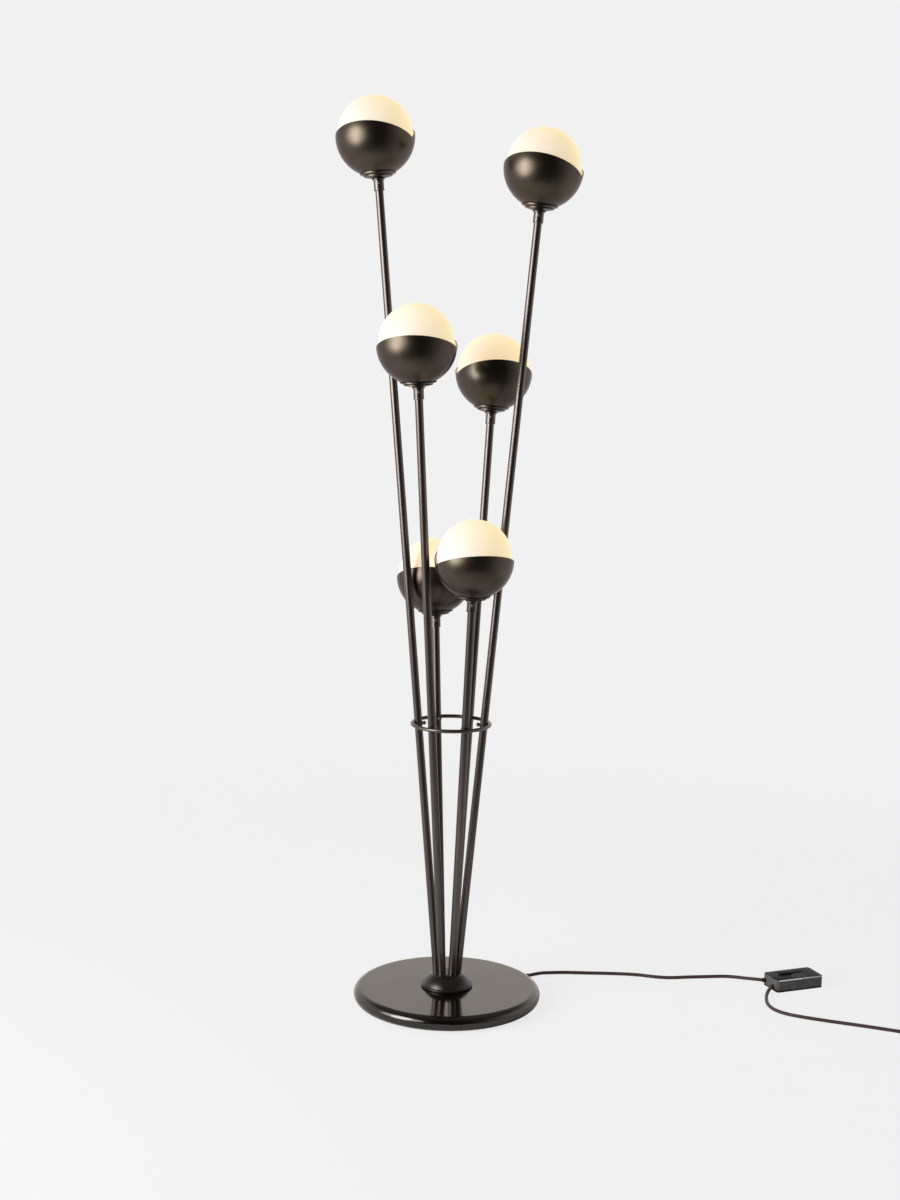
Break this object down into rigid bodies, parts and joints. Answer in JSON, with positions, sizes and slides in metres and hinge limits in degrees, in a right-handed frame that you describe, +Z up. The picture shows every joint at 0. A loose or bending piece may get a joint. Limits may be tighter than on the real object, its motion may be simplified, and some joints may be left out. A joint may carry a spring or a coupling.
{
  "type": "tree floor lamp",
  "caption": "Floor lamp with leaning tubular stems of different heights on one round base, each with a notched metal cup holding a glass globe, and a slide dimmer on its cord.",
  "frame": {"origin": "centre of the base's resting face, on the floor", "axes": "+Z up, +X to the lamp's right seen from the front, +Y to its back"},
  "size_m": [1.0429, 0.305, 1.446],
  "materials": {
    "black_enamel": "gloss black enamel on the base",
    "bronze": "satin dark bronze on stems, hub, ring and cups",
    "opal_glass": "opal white glass, satin, lit from inside",
    "felt": "black felt",
    "steel_screws": "blackened steel",
    "porcelain": "white porcelain lampholders",
    "bulb_glass": "frosted bulb glass",
    "black_plastic": "black moulded plastic",
    "circuit_board": "green circuit board",
    "wire": "wire insulation",
    "cord_fabric": "dark maroon braided cord",
    "black_rubber": "black rubber",
    "brass_blades": "brass blades"
  },
  "bodies": {
    "stand": {"base_disc": "black_enamel", "base_pad": "felt", "terminal_block": "porcelain", "hub": "bronze", "hub_screws": "steel_screws", "inner_wires": "wire", "cord_bush": "black_rubber", "tie_ring": "bronze", "tie_ring_screws": "bronze", "dimmer_base": "black_plastic", "dimmer_board": "circuit_board", "dimmer_cover": "black_plastic", "cord_to_dimmer": "cord_fabric", "cord_to_plug": "cord_fabric", "cord_coil": "cord_fabric", "plug_body": "black_rubber", "plug_blades": "brass_blades", "stem_tall_right": "bronze", "stem_mid_back": "bronze", "stem_low_back": "bronze", "stem_tall_left": "bronze", "stem_mid_front": "bronze", "stem_low_front": "bronze"},
    "head_tall_right": {"cup_tall_right": "bronze", "cup_seat_tall_right": "bronze", "collar_tall_right": "bronze", "lampholder_tall_right": "porcelain", "bulb_tall_right": "bulb_glass"},
    "globe_tall_right": {"globe_tall_right": "opal_glass"},
    "head_mid_back": {"cup_mid_back": "bronze", "cup_seat_mid_back": "bronze", "collar_mid_back": "bronze", "lampholder_mid_back": "porcelain", "bulb_mid_back": "bulb_glass"},
    "globe_mid_back": {"globe_mid_back": "opal_glass"},
    "head_low_back": {"cup_low_back": "bronze", "cup_seat_low_back": "bronze", "collar_low_back": "bronze", "lampholder_low_back": "porcelain", "bulb_low_back": "bulb_glass"},
    "globe_low_back": {"globe_low_back": "opal_glass"},
    "head_tall_left": {"cup_tall_left": "bronze", "cup_seat_tall_left": "bronze", "collar_tall_left": "bronze", "lampholder_tall_left": "porcelain", "bulb_tall_left": "bulb_glass"},
    "globe_tall_left": {"globe_tall_left": "opal_glass"},
    "head_mid_front": {"cup_mid_front": "bronze", "cup_seat_mid_front": "bronze", "collar_mid_front": "bronze", "lampholder_mid_front": "porcelain", "bulb_mid_front": "bulb_glass"},
    "globe_mid_front": {"globe_mid_front": "opal_glass"},
    "head_low_front": {"cup_low_front": "bronze", "cup_seat_low_front": "bronze", "collar_low_front": "bronze", "lampholder_low_front": "porcelain", "bulb_low_front": "bulb_glass"},
    "globe_low_front": {"globe_low_front": "opal_glass"},
    "dimmer_slider": {"dimmer_slider": "black_plastic"}
  },
  "joints": [
    {"name": "swivel_tall_right", "type": "hinge", "parent": "stand", "child": "head_tall_right", "pos_m": [0.12832, -0.01379, 1.336], "axis": [0.0862, -0.0107, 0.9962], "range_deg": [-170, 170]},
    {"name": "lift_tall_right", "type": "slide", "parent": "head_tall_right", "child": "globe_tall_right", "axis": [0.0862, -0.0107, 0.9962], "range_m": [0, 0.1]},
    {"name": "swivel_mid_back", "type": "hinge", "parent": "stand", "child": "head_mid_back", "pos_m": [0.05967, 0.08249, 1.0235], "axis": [0.0524, 0.0693, 0.9962], "range_deg": [-170, 170]},
    {"name": "lift_mid_back", "type": "slide", "parent": "head_mid_back", "child": "globe_mid_back", "axis": [0.0524, 0.0693, 0.9962], "range_m": [0, 0.1]},
    {"name": "swivel_low_back", "type": "hinge", "parent": "stand", "child": "head_low_back", "pos_m": [-0.03037, 0.06638, 0.693], "axis": [-0.0339, 0.08, 0.9962], "range_deg": [-170, 170]},
    {"name": "lift_low_back", "type": "slide", "parent": "head_low_back", "child": "globe_low_back", "axis": [-0.0339, 0.08, 0.9962], "range_m": [0, 0.1]},
    {"name": "swivel_tall_left", "type": "hinge", "parent": "stand", "child": "head_tall_left", "pos_m": [-0.13243, 0.0143, 1.3835], "axis": [-0.0862, 0.0107, 0.9962], "range_deg": [-170, 170]},
    {"name": "lift_tall_left", "type": "slide", "parent": "head_tall_left", "child": "globe_tall_left", "axis": [-0.0862, 0.0107, 0.9962], "range_m": [0, 0.1]},
    {"name": "swivel_mid_front", "type": "hinge", "parent": "stand", "child": "head_mid_front", "pos_m": [-0.0618, -0.08531, 1.064], "axis": [-0.0524, -0.0693, 0.9962], "range_deg": [-170, 170]},
    {"name": "lift_mid_front", "type": "slide", "parent": "head_mid_front", "child": "globe_mid_front", "axis": [-0.0524, -0.0693, 0.9962], "range_m": [0, 0.1]},
    {"name": "swivel_low_front", "type": "hinge", "parent": "stand", "child": "head_low_front", "pos_m": [0.03182, -0.06979, 0.7355], "axis": [0.0339, -0.08, 0.9962], "range_deg": [-170, 170]},
    {"name": "lift_low_front", "type": "slide", "parent": "head_low_front", "child": "globe_low_front", "axis": [0.0339, -0.08, 0.9962], "range_m": [0, 0.1]},
    {"name": "dimmer_slide", "type": "slide", "parent": "stand", "child": "dimmer_slider", "axis": [0.9336, 0.3584, 0], "range_m": [0, 0.021]}
  ]
}
